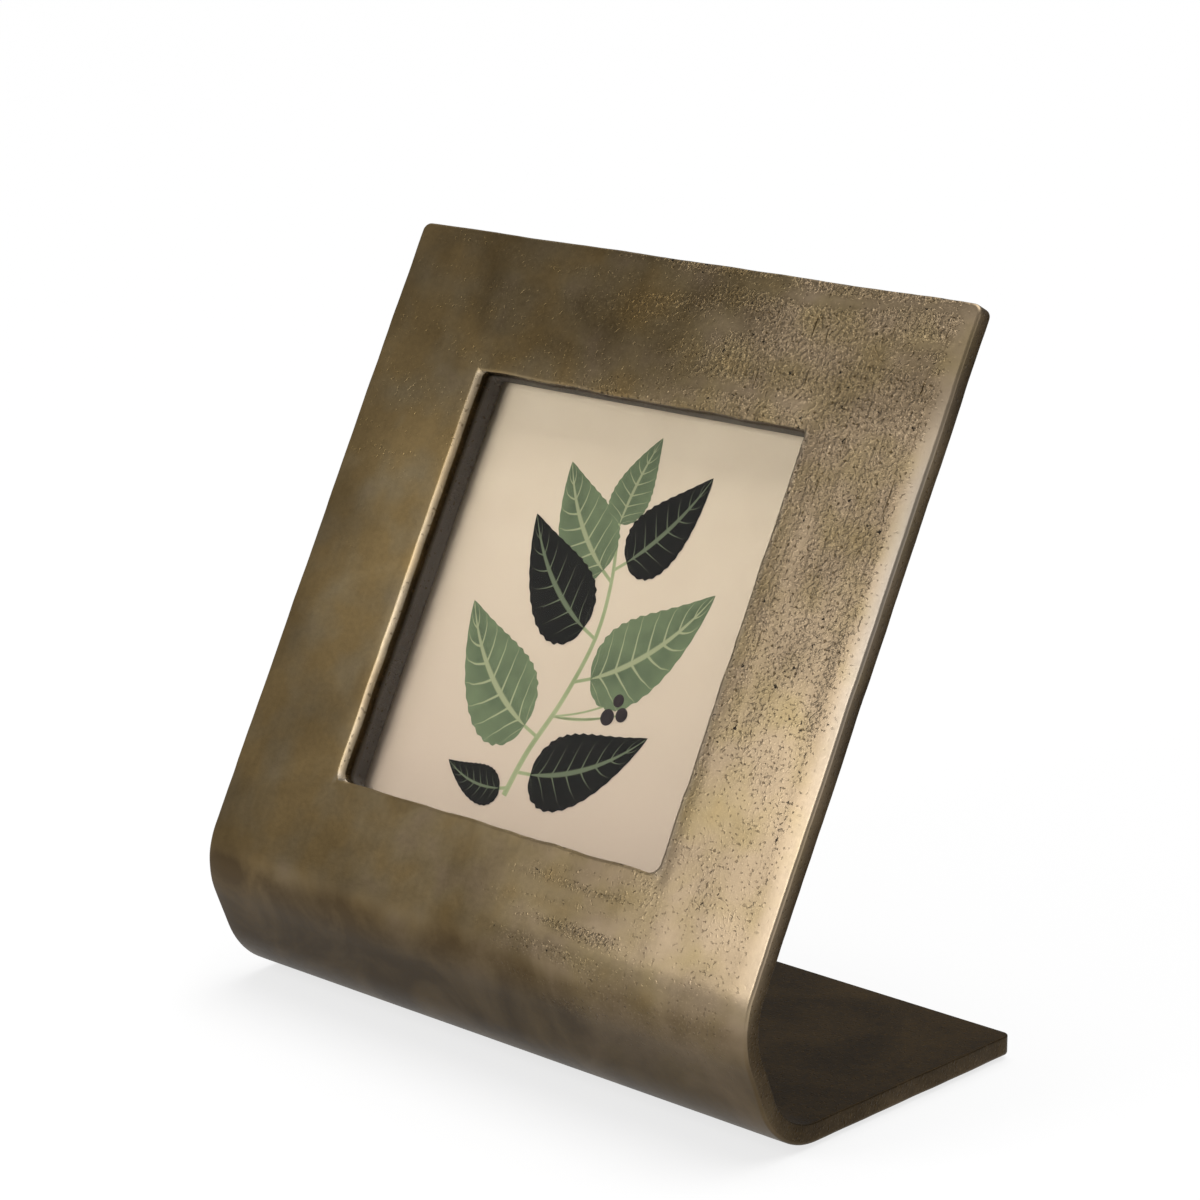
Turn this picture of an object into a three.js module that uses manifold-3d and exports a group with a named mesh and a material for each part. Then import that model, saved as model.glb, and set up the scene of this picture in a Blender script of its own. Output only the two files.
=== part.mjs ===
// A free-standing photo frame: one bent cast plate that is foot and leaning face in one, with a
// glazed window, a rebate behind it for the glass, print and backing board, and four turn-buttons.
// Millimetres, +Z up. The face looks along -Y. The origin is under the middle of the frame, on
// the surface that it stands on.

import * as THREE from 'three';
import { mergeVertices } from 'three/addons/utils/BufferGeometryUtils.js';
import Module from 'manifold-3d';

const wasm = await Module();
wasm.setup();

const degrees = Math.PI / 180;
const quarter = 90 * degrees;

// The print, and how far the window's edge laps over it
const printWidth = 127;
const printHeight = 127;
const printThickness = 0.3;
const sideLap = 5;
const endLap = 3.25;

// The cast plate: foot, two bends with a flat facet between them, and the leaning face
const metalThickness = 5.5;
const sideRail = 41.5;
const topRail = 40.5;
const bottomRail = 21.7;
const leanAngle = 28 * degrees;
const footLength = 82;
const lowerBendRadius = 24;
const lowerBendAngle = 67 * degrees;
const facetLength = 12.5;
const upperBendRadius = 24;
const edgeRound = 1.5;
const endRound = 1.9;
const cornerRadius = 2.5;
const windowChamfer = 1.2;

// The cast rebate on the back of the face: a lip that the glass rests on, inside a wall
const lipHeight = 4.7;
const wallWidth = 7;
const rimCornerRadius = 6;
const rimEdgeRound = 1;

// What lies in the rebate
const glassThickness = 2;
const glassEdge = 0.3;
const boardThickness = 2.5;
const feltThickness = 0.7;
const feltInset = 1.5;
const pocketClearance = 0.5;
const seatGap = 0.3;

// Turn-buttons, stamped from strip, with an upturned finger tab
const buttonThickness = 1.2;
const buttonWidth = 9;
const buttonTipWidth = 7;
const buttonReach = 17;
const tabHeight = 3.6;
const tabBendRadius = 2;
const tipCornerRadius = 1.2;

// Screws and washers that hold the turn-buttons
const screwRadius = 1.5;
const screwDepth = 7;
const screwPoint = 0.5;
const headRadius = 3;
const headRim = 0.7;
const headDome = 1;
const slotWidth = 0.8;
const slotDepth = 0.9;
const washerRadius = 3.6;
const washerThickness = 0.5;
const runningGap = 0.3;

// Felt pads under the foot
const padRadius = 7;
const padThickness = 1.2;
const padSideInset = 12;
const padEndInset = 8;

// Fineness of round shapes
const bendSteps = 8;
const cornerSteps = 3;
const roundSteps = 24;
const edgeSteps = 2;
const domeSteps = 4;

// Sizes that follow
const windowWidth = printWidth - 2 * sideLap;
const windowHeight = printHeight - 2 * endLap;
const plateWidth = windowWidth + 2 * sideRail;
const faceHeight = bottomRail + windowHeight + topRail;
const windowMiddle = bottomRail + windowHeight / 2;
const pocketWidth = printWidth + 2 * pocketClearance;
const pocketHeight = printHeight + 2 * pocketClearance;

// The metal's thickness limits how far its edges are rounded, the side edges less than the ends
const endRoundShare = 0.45;
const edgeRoundShare = 0.8;
const limitedEndRound = Math.min(endRound, endRoundShare * metalThickness);
const limitedEdgeRound = Math.min(edgeRound, edgeRoundShare * limitedEndRound);

// Depths behind the front of the face, square to it
const lipDepth = metalThickness + lipHeight;
const glassDepth = lipDepth + seatGap;
const printDepth = glassDepth + glassThickness + seatGap;
const boardDepth = printDepth + printThickness + seatGap;
const feltDepth = boardDepth + boardThickness + seatGap;
const rimDepth = feltDepth + feltThickness;
const buttonDepth = rimDepth + seatGap;
const washerDepth = buttonDepth + buttonThickness + runningGap;
const headDepth = washerDepth + washerThickness + runningGap;

// The plate's outer surface seen from the side, as points (y, z) from the foot up to the face.
// Angles turn about each bend's centre, from straight down at the foot to the leaning face.
const down = -quarter;
const facetTurn = down - lowerBendAngle;
const faceTurn = -2 * quarter - leanAngle;
const lowerCentre = new THREE.Vector2(0, lowerBendRadius);
const facetStart = onBend(lowerCentre, lowerBendRadius, facetTurn);
const facetRise = new THREE.Vector2(-Math.cos(lowerBendAngle), Math.sin(lowerBendAngle));
const facetEnd = facetStart.clone().addScaledVector(facetRise, facetLength);
const facetInward = new THREE.Vector2(Math.sin(lowerBendAngle), Math.cos(lowerBendAngle));
const upperCentre = facetEnd.clone().addScaledVector(facetInward, upperBendRadius);
const faceStart = onBend(upperCentre, upperBendRadius, faceTurn);
const faceUp = new THREE.Vector2(Math.sin(leanAngle), Math.cos(leanAngle));
const faceBack = new THREE.Vector2(Math.cos(leanAngle), -Math.sin(leanAngle));

// From the face's own frame (Z up the face, Y square to its back) to the frame's
const leanPlace = new THREE.Matrix4()
  .makeTranslation(0, faceStart.x, faceStart.y)
  .multiply(new THREE.Matrix4().makeRotationX(-leanAngle));

const antiqueBrass = new THREE.MeshStandardMaterial({ color: '#8a744c', roughness: 0.5, metalness: 1 });
const clearGlass = new THREE.MeshStandardMaterial({
  color: '#e9f0ee', roughness: 0.05, metalness: 0, transparent: true, opacity: 0.35,
});
const creamPaper = new THREE.MeshStandardMaterial({ color: '#cdbba0', roughness: 0.85, metalness: 0 });
const fibreboard = new THREE.MeshStandardMaterial({ color: '#8b6d4a', roughness: 0.9, metalness: 0 });
const blackFelt = new THREE.MeshStandardMaterial({ color: '#1d1b1a', roughness: 1, metalness: 0 });
const brassStrip = new THREE.MeshStandardMaterial({ color: '#a98b4f', roughness: 0.35, metalness: 1 });
const zincSteel = new THREE.MeshStandardMaterial({ color: '#a9a6a0', roughness: 0.35, metalness: 1 });
const brownFelt = new THREE.MeshStandardMaterial({ color: '#3a2f26', roughness: 1, metalness: 0 });

function onBend(centre, radius, turn) {
  return new THREE.Vector2(centre.x + radius * Math.cos(turn), centre.y + radius * Math.sin(turn));
}

// A closed geometry becomes a solid that can be joined and cut, and back again
function toSolid(geometry) {
  const bare = geometry.clone();
  bare.deleteAttribute('normal');
  bare.deleteAttribute('uv');
  const merged = mergeVertices(bare);
  return new wasm.Manifold(new wasm.Mesh({
    numProp: 3,
    vertProperties: new Float32Array(merged.attributes.position.array),
    triVerts: new Uint32Array(merged.index.array),
  }));
}

function toGeometry(solid) {
  const mesh = solid.getMesh();
  const geometry = new THREE.BufferGeometry();
  geometry.setAttribute('position', new THREE.BufferAttribute(mesh.vertProperties, mesh.numProp));
  geometry.setIndex(new THREE.BufferAttribute(mesh.triVerts, 1));
  geometry.computeVertexNormals();
  return geometry;
}

// Extrudes an outline by a depth, with its end edges rounded inside the outline
function extrude(outline, depth, rounding, curveSegments) {
  return new THREE.ExtrudeGeometry(outline, {
    depth: depth - 2 * rounding,
    curveSegments,
    bevelEnabled: rounding > 0,
    bevelThickness: rounding,
    bevelSize: rounding,
    bevelOffset: -rounding,
    bevelSegments: edgeSteps,
  }).translate(0, 0, rounding);
}

// An outline of points (y, z), extruded along X and centred on it
function alongX(outline, length, rounding, curveSegments) {
  const toX = new THREE.Matrix4().makeBasis(
    new THREE.Vector3(0, 1, 0),
    new THREE.Vector3(0, 0, 1),
    new THREE.Vector3(1, 0, 0),
  );
  return extrude(outline, length, rounding, curveSegments)
    .translate(0, 0, -length / 2)
    .applyMatrix4(toX);
}

// An outline of points (x, z), extruded along Y between two depths
function alongY(outline, from, to, rounding, curveSegments) {
  return extrude(outline, to - from, rounding, curveSegments)
    .translate(0, 0, -to)
    .rotateX(quarter);
}

// A rectangle with round corners, centred on a height
function roundedRectangle(width, height, middle, radius) {
  const side = width / 2;
  const low = middle - height / 2;
  const high = middle + height / 2;
  const outline = new THREE.Shape();
  outline.moveTo(-side + radius, low);
  outline.lineTo(side - radius, low);
  outline.absarc(side - radius, low + radius, radius, -quarter, 0, false);
  outline.absarc(side - radius, high - radius, radius, 0, quarter, false);
  outline.absarc(-side + radius, high - radius, radius, quarter, 2 * quarter, false);
  outline.absarc(-side + radius, low + radius, radius, 2 * quarter, 3 * quarter, false);
  return outline;
}

function rectangle(width, height, middle) {
  const side = width / 2;
  const low = middle - height / 2;
  const high = middle + height / 2;
  return new THREE.Shape([
    new THREE.Vector2(-side, low),
    new THREE.Vector2(side, low),
    new THREE.Vector2(side, high),
    new THREE.Vector2(-side, high),
  ]);
}

// Side view of the bent plate: round the underside, the front and the top, and back inside
function bentProfile() {
  const innerLower = lowerBendRadius - metalThickness;
  const innerUpper = upperBendRadius - metalThickness;
  const topMiddle = faceStart.clone().addScaledVector(faceUp, faceHeight - limitedEndRound);
  const topFront = topMiddle.clone().addScaledVector(faceBack, limitedEndRound);
  const topRear = topMiddle.clone().addScaledVector(faceBack, metalThickness - limitedEndRound);
  const footTip = footLength - limitedEndRound;
  const outline = new THREE.Shape();
  outline.moveTo(footTip, 0);
  outline.absarc(lowerCentre.x, lowerCentre.y, lowerBendRadius, down, facetTurn, true);
  outline.absarc(upperCentre.x, upperCentre.y, upperBendRadius, facetTurn, faceTurn, true);
  outline.absarc(topFront.x, topFront.y, limitedEndRound, 2 * quarter - leanAngle, quarter - leanAngle, true);
  outline.absarc(topRear.x, topRear.y, limitedEndRound, quarter - leanAngle, -leanAngle, true);
  outline.absarc(upperCentre.x, upperCentre.y, innerUpper, faceTurn, facetTurn, false);
  outline.absarc(lowerCentre.x, lowerCentre.y, innerLower, facetTurn, down, false);
  outline.absarc(footTip, metalThickness - limitedEndRound, limitedEndRound, quarter, 0, true);
  outline.absarc(footTip, limitedEndRound, limitedEndRound, 0, down, true);
  return outline;
}

// What a round corner leaves over of a square one, at the origin, for the quarter +X +Y
function cornerWaste(radius) {
  const outside = radius + metalThickness;
  const outline = new THREE.Shape();
  outline.moveTo(radius, 0);
  outline.lineTo(outside, 0);
  outline.lineTo(outside, outside);
  outline.lineTo(0, outside);
  outline.lineTo(0, radius);
  outline.absarc(0, 0, radius, quarter, 0, true);
  return outline;
}

// The four corners of the plate, rounded square to the sheet: two on the face, two on the foot
function cutPlateCorners(plate) {
  const reach = 4 * metalThickness;
  const outline = cornerWaste(cornerRadius);
  for (const side of [1, -1]) {
    const cornerX = side * (plateWidth / 2 - cornerRadius);
    const turn = side > 0 ? 0 : quarter;
    const onFace = extrude(outline, reach, 0, cornerSteps)
      .rotateZ(turn)
      .translate(0, 0, -reach / 2)
      .rotateX(quarter)
      .translate(cornerX, 0, faceHeight - cornerRadius)
      .applyMatrix4(leanPlace);
    const onFoot = extrude(outline, reach, 0, cornerSteps)
      .rotateZ(turn)
      .translate(cornerX, footLength - cornerRadius, -reach / 2);
    plate = plate.subtract(toSolid(onFace)).subtract(toSolid(onFoot));
  }
  return plate;
}

// The block that opens the window, flared at the front for the chamfer
function windowBlock() {
  const outline = rectangle(windowWidth, windowHeight, windowMiddle);
  const through = alongY(outline, -windowChamfer, rimDepth, 0, 1);
  const flare = new THREE.BoxGeometry(windowWidth, 2 * windowChamfer, windowHeight);
  const corners = flare.attributes.position;
  for (let i = 0; i < corners.count; i += 1) {
    if (corners.getY(i) < 0) {
      corners.setX(i, corners.getX(i) + Math.sign(corners.getX(i)) * 2 * windowChamfer);
      corners.setZ(i, corners.getZ(i) + Math.sign(corners.getZ(i)) * 2 * windowChamfer);
    }
  }
  flare.translate(0, 0, windowMiddle);
  return toSolid(through.applyMatrix4(leanPlace)).add(toSolid(flare.applyMatrix4(leanPlace)));
}

// Where the four turn-buttons sit on the wall of the rebate, and which way each points
const sideScrewX = (pocketWidth + wallWidth) / 2;
const endScrewZ = (pocketHeight + wallWidth) / 2;
const buttonPlaces = [
  { name: 'top', x: 0, z: windowMiddle + endScrewZ, turn: 2 * quarter },
  { name: 'bottom', x: 0, z: windowMiddle - endScrewZ, turn: 0 },
  { name: 'left', x: -sideScrewX, z: windowMiddle, turn: quarter },
  { name: 'right', x: sideScrewX, z: windowMiddle, turn: -quarter },
];

function makeCastPlate() {
  const sheet = toSolid(alongX(bentProfile(), plateWidth, limitedEdgeRound, bendSteps));
  const rimWidth = pocketWidth + 2 * wallWidth;
  const rimHeight = pocketHeight + 2 * wallWidth;
  const rimOutline = roundedRectangle(rimWidth, rimHeight, windowMiddle, rimCornerRadius);
  const rimFoot = metalThickness - 2 * rimEdgeRound;
  const rim = alongY(rimOutline, rimFoot, rimDepth, rimEdgeRound, cornerSteps);
  const pocketOutline = rectangle(pocketWidth, pocketHeight, windowMiddle);
  const pocket = alongY(pocketOutline, lipDepth, rimDepth + wallWidth, 0, 1);
  let plate = cutPlateCorners(sheet)
    .add(toSolid(rim.applyMatrix4(leanPlace)))
    .subtract(toSolid(pocket.applyMatrix4(leanPlace)))
    .subtract(windowBlock());
  for (const place of buttonPlaces) {
    const holeRadius = screwRadius + seatGap;
    const holeBottom = rimDepth - screwDepth - seatGap;
    const holeLength = rimDepth + wallWidth - holeBottom;
    const hole = new THREE.CylinderGeometry(holeRadius, holeRadius, holeLength, roundSteps)
      .translate(place.x, holeBottom + holeLength / 2, place.z)
      .applyMatrix4(leanPlace);
    plate = plate.subtract(toSolid(hole));
  }
  return toGeometry(plate);
}

// A turn-button: pivot at the origin, its flat underside at y = 0, pointing up +Z.
// A side view of the bent strip is trimmed to the plan, and the pivot hole is cut.
function makeTurnButton() {
  const pivotRound = buttonWidth / 2;
  const tabCentre = buttonReach - tabBendRadius;
  const strip = new THREE.Shape();
  strip.moveTo(0, -pivotRound);
  strip.lineTo(0, tabCentre);
  strip.absarc(tabBendRadius, tabCentre, tabBendRadius, 2 * quarter, quarter, true);
  strip.lineTo(tabHeight, buttonReach);
  strip.lineTo(tabHeight, buttonReach - buttonThickness);
  const innerBend = tabBendRadius - buttonThickness;
  strip.absarc(tabBendRadius, tabCentre, innerBend, quarter, 2 * quarter, false);
  strip.lineTo(buttonThickness, -pivotRound);
  const plan = new THREE.Shape();
  plan.absarc(0, 0, pivotRound, -2 * quarter, 0, false);
  const tipX = buttonTipWidth / 2 - tipCornerRadius;
  const tipZ = buttonReach - tipCornerRadius;
  plan.absarc(tipX, tipZ, tipCornerRadius, 0, quarter, false);
  plan.absarc(-tipX, tipZ, tipCornerRadius, quarter, 2 * quarter, false);
  const holeRadius = screwRadius + runningGap;
  const hole = new THREE.CylinderGeometry(holeRadius, holeRadius, 4 * buttonThickness, roundSteps);
  return toGeometry(
    toSolid(alongX(strip, 2 * buttonWidth, 0, cornerSteps))
      .intersect(toSolid(alongY(plan, -tabHeight, 2 * tabHeight, 0, bendSteps)))
      .subtract(toSolid(hole)),
  );
}

// A slotted pan-head screw: the underside of its head at y = 0, the shank along -Y
function makeScrew() {
  const shankEnd = rimDepth - screwDepth - headDepth;
  const side = [
    new THREE.Vector2(0, shankEnd),
    new THREE.Vector2(screwRadius - screwPoint, shankEnd),
    new THREE.Vector2(screwRadius, shankEnd + screwPoint),
    new THREE.Vector2(screwRadius, 0),
    new THREE.Vector2(headRadius, 0),
  ];
  for (let i = 0; i < domeSteps; i += 1) {
    const rise = (quarter * i) / domeSteps;
    side.push(new THREE.Vector2(headRadius * Math.cos(rise), headRim + headDome * Math.sin(rise)));
  }
  side.push(new THREE.Vector2(0, headRim + headDome));
  const body = new THREE.LatheGeometry(side, roundSteps);
  const slotMiddle = headRim + headDome;
  const slotLength = 2 * (headRadius + slotWidth);
  const slot = new THREE.BoxGeometry(slotLength, 2 * slotDepth, slotWidth).translate(0, slotMiddle, 0);
  return toGeometry(toSolid(body).subtract(toSolid(slot)));
}

// A flat washer with its underside at y = 0
function makeWasher() {
  const hole = screwRadius + runningGap;
  const side = [
    new THREE.Vector2(hole, 0),
    new THREE.Vector2(washerRadius, 0),
    new THREE.Vector2(washerRadius, washerThickness),
    new THREE.Vector2(hole, washerThickness),
    new THREE.Vector2(hole, 0),
  ];
  return new THREE.LatheGeometry(side, roundSteps);
}

function addMesh(parent, name, geometry, material) {
  const mesh = new THREE.Mesh(geometry, material);
  mesh.name = name;
  parent.add(mesh);
  return mesh;
}

// Glass, print, backing board and its felt, from the lip of the rebate to its open side
function addPictureStack(parent) {
  const glass = rectangle(printWidth, printHeight, windowMiddle);
  const felt = rectangle(printWidth - 2 * feltInset, printHeight - 2 * feltInset, windowMiddle);
  const glassBack = glassDepth + glassThickness;
  addMesh(parent, 'glass_pane', alongY(glass, glassDepth, glassBack, glassEdge, 1), clearGlass);
  addMesh(parent, 'picture_print', alongY(glass, printDepth, printDepth + printThickness, 0, 1), creamPaper);
  addMesh(parent, 'backing_board', alongY(glass, boardDepth, boardDepth + boardThickness, 0, 1), fibreboard);
  addMesh(parent, 'backing_felt', alongY(felt, feltDepth, rimDepth, 0, 1), blackFelt);
}

function addTurnButtons(parent) {
  for (const place of buttonPlaces) {
    const button = addMesh(parent, `turn_button_${place.name}`, makeTurnButton(), brassStrip);
    button.position.set(place.x, buttonDepth, place.z);
    button.rotation.y = place.turn;
    const washer = addMesh(parent, `button_washer_${place.name}`, makeWasher(), zincSteel);
    washer.position.set(place.x, washerDepth, place.z);
    const screw = addMesh(parent, `button_screw_${place.name}`, makeScrew(), zincSteel);
    screw.position.set(place.x, headDepth, place.z);
    screw.rotation.y = place.turn;
  }
}

function addFootPads(parent) {
  const padX = plateWidth / 2 - padSideInset - padRadius;
  const frontY = padEndInset + padRadius;
  const rearY = footLength - padEndInset - padRadius;
  for (const [sideName, x] of [['left', -padX], ['right', padX]]) {
    for (const [endName, y] of [['front', frontY], ['rear', rearY]]) {
      const disc = new THREE.CylinderGeometry(padRadius, padRadius, padThickness, roundSteps);
      const pad = addMesh(parent, `foot_pad_${endName}_${sideName}`, disc.rotateX(quarter), brownFelt);
      pad.position.set(x, y, -padThickness / 2);
    }
  }
}

const frame = new THREE.Group();
addMesh(frame, 'cast_bent_plate', makeCastPlate(), antiqueBrass);
const face = new THREE.Group();
face.applyMatrix4(leanPlace);
frame.add(face);
addPictureStack(face);
addTurnButtons(face);
addFootPads(frame);

// Stands the frame on z = 0, centred on the origin
const extent = new THREE.Box3().setFromObject(frame);
const middle = extent.getCenter(new THREE.Vector3());
frame.position.set(-middle.x, -middle.y, -extent.min.z);

export default frame;
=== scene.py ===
# The looks of a free-standing photo frame of sand-cast brass: the bent plate with its cast skin
# and rubbed patina, the glazed window with a botanical print, and the board, felt and turn-buttons
# behind it. Lengths are in metres.

import math
from types import SimpleNamespace

import bmesh
import bpy
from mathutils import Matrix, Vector, noise


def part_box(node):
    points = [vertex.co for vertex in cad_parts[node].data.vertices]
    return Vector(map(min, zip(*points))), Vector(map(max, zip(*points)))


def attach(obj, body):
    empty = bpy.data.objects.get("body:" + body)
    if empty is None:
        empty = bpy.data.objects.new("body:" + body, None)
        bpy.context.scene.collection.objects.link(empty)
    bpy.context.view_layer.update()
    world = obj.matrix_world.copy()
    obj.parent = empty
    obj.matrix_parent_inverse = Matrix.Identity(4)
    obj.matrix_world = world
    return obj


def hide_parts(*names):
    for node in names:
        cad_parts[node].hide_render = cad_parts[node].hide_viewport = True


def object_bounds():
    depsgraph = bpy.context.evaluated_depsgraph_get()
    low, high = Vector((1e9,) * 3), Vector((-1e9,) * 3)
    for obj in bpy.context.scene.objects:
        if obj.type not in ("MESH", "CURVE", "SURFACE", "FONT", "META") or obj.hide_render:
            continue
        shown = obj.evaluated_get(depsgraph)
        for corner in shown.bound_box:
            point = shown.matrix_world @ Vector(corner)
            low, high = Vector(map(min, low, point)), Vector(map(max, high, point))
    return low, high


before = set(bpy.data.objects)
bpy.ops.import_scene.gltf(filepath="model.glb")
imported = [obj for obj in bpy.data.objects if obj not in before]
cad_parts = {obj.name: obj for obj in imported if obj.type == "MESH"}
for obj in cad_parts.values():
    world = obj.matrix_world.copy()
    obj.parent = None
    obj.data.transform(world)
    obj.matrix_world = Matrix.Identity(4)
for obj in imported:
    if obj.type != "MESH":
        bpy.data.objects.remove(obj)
cad_low, cad_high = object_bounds()

MM = 0.001
QUARTER = math.pi / 2
# Lengths that differ by less than SAME are equal, and points closer than MERGED become one
SAME = 1e-6
MERGED = 0.002 * MM

# The bent plate, measured along its outer surface from the rear of the foot up to the top
FOOT_LENGTH = 82 * MM
LOWER_RADIUS = 24 * MM
LOWER_ANGLE = math.radians(67)
FACET_LENGTH = 12.5 * MM
UPPER_RADIUS = 24 * MM
LEAN_ANGLE = math.radians(28)
FACE_HEIGHT = 182.7 * MM
METAL = 5.5 * MM
HALF_WIDTH = (cad_high.x - cad_low.x) / 2
CORNER_RADIUS = 2.5 * MM
FRONT_ROUND = 0.7 * MM
REAR_ROUND = 0.25 * MM
RIM_ROUND = 0.9 * MM
RIM_CORNERS = (6 * MM, 6 * MM)
WINDOW_CORNERS = (3.3 * MM, 1.5 * MM)
CHAMFER_WIDTH = 2 * MM
CHAMFER_DEPTH = 0.95 * MM
SLIM_CHAMFER = 0.4
ARRIS_ROUND = 0.22 * MM
ARRIS_ANGLE = math.radians(15)
SHARP_ANGLE = math.radians(60)
NEAR_WINDOW = 3 * MM
# How far the rows of points stay clear of the corners, the chamfer and the fine roundings
CORNER_MARGIN = 0.2 * MM
CHAMFER_MARGIN = 0.4 * MM
FLAT_MARGIN = 0.3 * MM

# The window, the lip that the glass rests on and the wall round the pocket, up the face
WINDOW_SIDE = 58.5 * MM
WINDOW_LOW = 21.7 * MM
WINDOW_HIGH = 142.2 * MM
LIP_DEPTH = 10.2 * MM
POCKET_SIDE = 64 * MM
POCKET_LOW = 17.95 * MM
POCKET_HIGH = 145.95 * MM
WALL = 7 * MM
RIM_SIDE = POCKET_SIDE + WALL
RIM_LOW = POCKET_LOW - WALL
RIM_HIGH = POCKET_HIGH + WALL
RIM_DEPTH = 16.9 * MM
PRINT_DEPTH = 12.8 * MM
INK = 0.012 * MM

# The runs of the plate: length along the outer surface, and how far each turns up
UPPER_ANGLE = QUARTER + LEAN_ANGLE - LOWER_ANGLE
RUNS = (
    (FOOT_LENGTH, 0.0),
    (LOWER_RADIUS * LOWER_ANGLE, LOWER_ANGLE),
    (FACET_LENGTH, 0.0),
    (UPPER_RADIUS * UPPER_ANGLE, UPPER_ANGLE),
    (FACE_HEIGHT, 0.0),
)
FACE_START = sum(length for length, turn in RUNS[:-1])
SHEET_LENGTH = FACE_START + FACE_HEIGHT

FOOT_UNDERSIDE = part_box("foot_pad_front_left")[1].z
FOOT_REAR = cad_high.y


def linear(code):
    """An sRGB hex colour as linear red, green, blue and alpha."""
    channels = [int(code[i : i + 2], 16) / 255 for i in (1, 3, 5)]
    return [c / 12.92 if c <= 0.04045 else ((c + 0.055) / 1.055) ** 2.4 for c in channels] + [1.0]


def bend(place):
    """Takes a place on the flat sheet (across, along, depth) to its place on the bent plate."""
    across, along, depth = place
    y, z, heading = FOOT_REAR, FOOT_UNDERSIDE, 0.0
    for number, (length, turn) in enumerate(RUNS):
        step = along if number == len(RUNS) - 1 else min(along, length)
        if turn == 0:
            y -= math.cos(heading) * step
            z += math.sin(heading) * step
        else:
            radius = length / turn
            after = heading + step / radius
            y += radius * (math.sin(heading) - math.sin(after))
            z += radius * (math.cos(heading) - math.cos(after))
            heading = after
        along -= step
        if along <= 0:
            break
    return Vector((across, y + math.sin(heading) * depth, z + math.cos(heading) * depth))


def on_face(across, up, depth):
    """A place on the leaning face, by its height up the face and depth behind its front."""
    return bend((across, FACE_START + up, depth))


# The camera stands at the photograph's angle, to the right of the frame and a little above it
CAMERA_AZIMUTH = math.radians(42.97)
CAMERA_ELEVATION = math.radians(14.67)
CAMERA_DISTANCE = 975.2 * MM
CAMERA_AIM = Vector((-1.9, 1.9, 119.7)) * MM
CAMERA_LENS = 108.56
CAMERA_SENSOR = 36


def new_object(name, data):
    """Puts a mesh, a lamp or a camera in the scene."""
    made = bpy.data.objects.new(name, data)
    bpy.context.scene.collection.objects.link(made)
    return made


def new_shape(name, shape, material):
    """Turns a finished bmesh, already in its place, into an object with its material."""
    mesh = bpy.data.meshes.new(name)
    shape.to_mesh(mesh)
    shape.free()
    mesh.materials.append(material)
    return new_object(name, mesh)


def new_piece(name, shape, material, body):
    """A smooth piece that rides on a body and takes its finish from a slot."""
    piece = new_shape(name, shape, material)
    piece.data.shade_smooth()
    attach(piece, body)
    return piece


def set_camera():
    data = bpy.data.cameras.new("photo_camera")
    data.lens = CAMERA_LENS
    data.sensor_width = CAMERA_SENSOR
    camera = new_object("photo_camera", data)
    flat = math.cos(CAMERA_ELEVATION)
    back = Vector((
        math.sin(CAMERA_AZIMUTH) * flat,
        -math.cos(CAMERA_AZIMUTH) * flat,
        math.sin(CAMERA_ELEVATION),
    ))
    camera.location = CAMERA_AIM + back * CAMERA_DISTANCE
    camera.rotation_euler = back.to_track_quat("Z", "Y").to_euler()
    bpy.context.scene.camera = camera


def new_material(name):
    """An empty material, and the function that adds a node to it."""
    material = bpy.data.materials.new(name)
    material.use_nodes = True
    tree = material.node_tree
    tree.nodes.clear()

    def add(kind, inputs=None, **settings):
        """Adds one node with its settings, and its inputs as values, outputs or other nodes. A
        node stands for its first output in use."""
        made = tree.nodes.new("ShaderNode" + kind)
        for name, value in settings.items():
            setattr(made, name, value)
        for socket, value in (inputs or {}).items():
            if isinstance(value, bpy.types.Node):
                value = next(output for output in value.outputs if output.enabled)
            if isinstance(value, bpy.types.NodeSocket):
                tree.links.new(value, made.inputs[socket])
            else:
                made.inputs[socket].default_value = value
        return made

    return material, add


def stations(marks, steps):
    """Places along a line: every mark, and evenly between two marks at about the step in mm."""
    places = [marks[0]]
    for low, high, step in zip(marks, marks[1:], steps):
        count = max(1, round((high - low) / (step * MM)))
        places += [low + (high - low) * i / count for i in range(1, count + 1)]
    return places


def ramp(value, low, high):
    """0 at low, 1 at high, and a smooth rise between them."""
    t = min(1.0, max(0.0, (value - low) / (high - low)))
    return t * t * (3 - 2 * t)


def hills(across, along, seed):
    """Smooth noise from about -1 to 1 with hills about 1 wide. Each pattern has a seed of its own,
    so that no two line up."""
    return noise.noise(Vector((across, along, seed)))


# How far the casting, ground and rubbed by hand, departs from a plain bent sheet
SKIN_INSET = 0.12 * MM
SHEET_SWELL = 0.22 * MM
SWELL_SIZE = 46 * MM
SIDE_FALL = 0.42 * MM
SIDE_FALL_WIDTH = 8 * MM
TOP_FALL_WIDTH = 4 * MM
WINDOW_FALL = 0.2 * MM
WINDOW_FALL_WIDTH = 4 * MM
OUTLINE_WOBBLE = 0.5 * MM
OUTLINE_REACH = 12 * MM
TOP_GROUND = 0.25 * MM
WINDOW_WOBBLE = 0.45 * MM
LUMP_SIZE = 0.9 * MM
LUMP_HEIGHT = 0.07 * MM
# The part of the front that is cut finely for the sand skin's lumps
SKIN_LEFT = 24 * MM
SKIN_RIGHT = 97 * MM
SKIN_START = 124 * MM
SKIN_TOP_MARGIN = 4 * MM
SKIN_CUTS = 4


def window_gap(across, up):
    """How far a place on the face is outside the window's edge; less than 0 inside it."""
    aside = abs(across) - WINDOW_SIDE
    above = max(up - WINDOW_HIGH, WINDOW_LOW - up)
    if aside <= 0 or above <= 0:
        return max(aside, above)
    return math.hypot(aside, above)


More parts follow.
